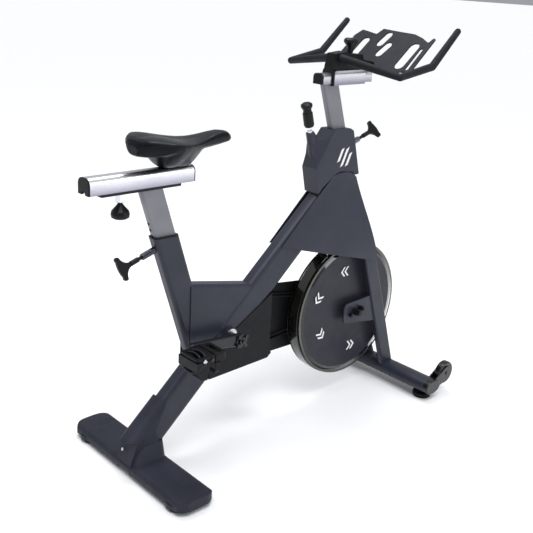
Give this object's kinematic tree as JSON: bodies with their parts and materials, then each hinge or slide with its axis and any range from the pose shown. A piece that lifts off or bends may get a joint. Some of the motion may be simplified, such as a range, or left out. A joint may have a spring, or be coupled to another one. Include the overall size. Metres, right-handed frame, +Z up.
{
  "type": "exercise bike",
  "caption": "Indoor cycling bike with a belt-driven flywheel, sliding saddle and handlebar posts, caged pedals, a push-stop resistance knob and a tray between the bar ends.",
  "frame": {"origin": "on the floor, at the middle of the bounding box", "axes": "+X forwards, the way the rider faces; +Y to the rider's left; +Z up"},
  "size_m": [1.29, 0.536, 1.2185],
  "materials": {
    "frame_paint": "satin charcoal powder coat",
    "pad_plastic": "fine-grained moulded plastic",
    "fairing_plastic": "smooth satin moulded plastic",
    "cover_plastic": "black moulded plastic",
    "screw_steel": "bright zinc",
    "foot_rubber": "matt black rubber",
    "wheel_plastic": "glossy black",
    "bushing_plastic": "black bushing",
    "bearing_steel": "ground",
    "flywheel_iron": "machined and lacquered black",
    "disc_paint": "satin grey with white arrows",
    "belt_rubber": "ribbed",
    "crank_paint": "gloss black",
    "axle_steel": "turned",
    "pedal_plastic": "black moulded plastic",
    "knob_plastic": "soft-touch black",
    "rod_chrome": "polished",
    "post_metal": "satin silver-grey",
    "rail_aluminium": "polished and anodised",
    "saddle_vinyl": "glossy black upholstery",
    "saddle_shell": "glossy black",
    "bar_grip": "matt charcoal dip",
    "tray_plastic": "matt charcoal"
  },
  "bodies": {
    "frame": {"main_tube": "frame_paint", "seat_tube": "frame_paint", "frame_web": "frame_paint", "head_tube": "frame_paint", "fork_leg_right": "frame_paint", "fork_leg_left": "frame_paint", "front_stabiliser_tube": "frame_paint", "front_end_caps": "wheel_plastic", "rear_stabiliser_tube": "frame_paint", "rear_pad_right": "pad_plastic", "rear_pad_left": "pad_plastic", "rear_sleeve_cover": "pad_plastic", "cover_screws": "screw_steel", "head_cover": "fairing_plastic", "fairing_right": "fairing_plastic", "fairing_left": "fairing_plastic", "drive_cover": "cover_plastic", "belt_guard": "cover_plastic", "post_bushings": "bushing_plastic", "crank_bearings": "bearing_steel", "guide_sleeves": "rod_chrome", "flywheel_axle": "crank_paint", "drive_belt": "belt_rubber"},
    "front_foot_right": {"front_foot_right": "foot_rubber"},
    "front_foot_left": {"front_foot_left": "foot_rubber"},
    "rear_foot_right": {"rear_foot_right": "foot_rubber"},
    "rear_foot_left": {"rear_foot_left": "foot_rubber"},
    "transport_wheel_right": {"transport_wheel_right": "wheel_plastic"},
    "transport_wheel_left": {"transport_wheel_left": "wheel_plastic"},
    "flywheel_set": {"flywheel": "flywheel_iron", "flywheel_cover": "disc_paint", "flywheel_pulley": "axle_steel"},
    "crank_set": {"crank_axle": "crank_paint", "crank_pulley": "cover_plastic", "crank_right": "crank_paint", "crank_left": "crank_paint"},
    "pedal_right_set": {"pedal_right": "pedal_plastic", "toe_cage_right": "pedal_plastic"},
    "pedal_left_set": {"pedal_left": "pedal_plastic", "toe_cage_left": "pedal_plastic"},
    "brake_rod": {"brake_rod": "rod_chrome"},
    "resistance_knob": {"resistance_knob": "knob_plastic"},
    "magnet_carriage": {"magnet_carriage": "axle_steel"},
    "seat_post_set": {"seat_post": "post_metal", "seat_clamp_collar": "rod_chrome"},
    "seat_clamp_knob": {"seat_clamp_knob": "knob_plastic"},
    "saddle_set": {"seat_rail": "rail_aluminium", "seat_rail_caps": "cover_plastic", "saddle_base": "saddle_shell", "saddle_pad": "saddle_vinyl"},
    "bar_post_set": {"bar_post": "post_metal", "bar_rail": "rail_aluminium", "bar_rail_cap": "cover_plastic"},
    "handlebar_set": {"bar_sleeve": "rail_aluminium", "stem_block": "cover_plastic", "handlebar": "bar_grip", "media_tray": "tray_plastic"},
    "bar_clamp_knob": {"bar_clamp_knob": "knob_plastic"},
    "rear_pin_handle": {"rear_pin_handle": "knob_plastic"},
    "front_pin_handle": {"front_pin_handle": "knob_plastic"}
  },
  "joints": [
    {"name": "flywheel_turn", "type": "hinge", "parent": "frame", "child": "flywheel_set", "pos_m": [0.326, 0, 0.305], "axis": [0, 1, 0], "continuous": true},
    {"name": "crank_turn", "type": "hinge", "parent": "frame", "child": "crank_set", "pos_m": [-0.187, 0, 0.345], "axis": [0, 1, 0], "continuous": true},
    {"name": "pedal_right_turn", "type": "hinge", "parent": "crank_set", "child": "pedal_right_set", "pos_m": [-0.3607, -0.122, 0.36633], "axis": [0, 1, 0], "continuous": true},
    {"name": "pedal_left_turn", "type": "hinge", "parent": "crank_set", "child": "pedal_left_set", "pos_m": [-0.0133, 0.122, 0.32367], "axis": [0, 1, 0], "continuous": true},
    {"name": "brake_push", "type": "slide", "parent": "frame", "child": "brake_rod", "axis": [0.2672, 0, -0.9636], "range_m": [0, 0.004], "stiffness_N_per_m": 4000, "springref_m": -0.003},
    {"name": "resistance_turn", "type": "hinge", "parent": "brake_rod", "child": "resistance_knob", "pos_m": [0.10099, 0, 0.95495], "axis": [-0.2672, 0, 0.9636], "range_deg": [0, 1080]},
    {"name": "brake_carriage_tilt", "type": "hinge", "parent": "frame", "child": "magnet_carriage", "pos_m": [0.292, 0, 0.556], "axis": [0, 1, 0], "range_deg": [-3.2, 0]},
    {"name": "seat_post_height", "type": "slide", "parent": "frame", "child": "seat_post_set", "axis": [-0.314, 0, 0.9494], "range_m": [-0.1, 0.09]},
    {"name": "seat_fore_aft", "type": "slide", "parent": "seat_post_set", "child": "saddle_set", "axis": [1, 0, 0], "range_m": [-0.045, 0.045]},
    {"name": "seat_clamp_turn", "type": "hinge", "parent": "seat_post_set", "child": "seat_clamp_knob", "pos_m": [-0.542, 0, 0.765], "axis": [0, 0, 1], "range_deg": [0, 720]},
    {"name": "bar_post_height", "type": "slide", "parent": "frame", "child": "bar_post_set", "axis": [-0.3305, 0, 0.9438], "range_m": [-0.09, 0.06]},
    {"name": "bar_fore_aft", "type": "slide", "parent": "bar_post_set", "child": "handlebar_set", "axis": [1, 0, 0], "range_m": [-0.01, 0.035]},
    {"name": "bar_clamp_turn", "type": "hinge", "parent": "handlebar_set", "child": "bar_clamp_knob", "pos_m": [0.26, 0, 1.16], "axis": [0, 0, 1], "range_deg": [0, 720]},
    {"name": "rear_pin_pull", "type": "slide", "parent": "frame", "child": "rear_pin_handle", "axis": [-0.9494, 0, -0.314], "range_m": [0, 0.01], "stiffness_N_per_m": 2000, "springref_m": -0.005},
    {"name": "front_pin_pull", "type": "slide", "parent": "frame", "child": "front_pin_handle", "axis": [0.9438, 0, 0.3305], "range_m": [0, 0.01], "stiffness_N_per_m": 2000, "springref_m": -0.005},
    {"name": "front_foot_right_turn", "type": "hinge", "parent": "frame", "child": "front_foot_right", "pos_m": [0.529, -0.218, 0], "axis": [0, 0, 1], "range_deg": [-720, 720]},
    {"name": "front_foot_left_turn", "type": "hinge", "parent": "frame", "child": "front_foot_left", "pos_m": [0.529, 0.218, 0], "axis": [0, 0, 1], "range_deg": [-720, 720]},
    {"name": "rear_foot_right_turn", "type": "hinge", "parent": "frame", "child": "rear_foot_right", "pos_m": [-0.503, -0.214, 0], "axis": [0, 0, 1], "range_deg": [-720, 720]},
    {"name": "rear_foot_left_turn", "type": "hinge", "parent": "frame", "child": "rear_foot_left", "pos_m": [-0.503, 0.214, 0], "axis": [0, 0, 1], "range_deg": [-720, 720]},
    {"name": "transport_wheel_right_turn", "type": "hinge", "parent": "frame", "child": "transport_wheel_right", "pos_m": [0.605, -0.244, 0.076], "axis": [0, 1, 0], "continuous": true},
    {"name": "transport_wheel_left_turn", "type": "hinge", "parent": "frame", "child": "transport_wheel_left", "pos_m": [0.605, 0.244, 0.076], "axis": [0, 1, 0], "continuous": true}
  ],
  "couplings": [
    {"joint": "crank_turn", "follows": "flywheel_turn", "ratio": 0.25},
    {"joint": "brake_carriage_tilt", "follows": "brake_push", "rad_per_m": -13}
  ]
}
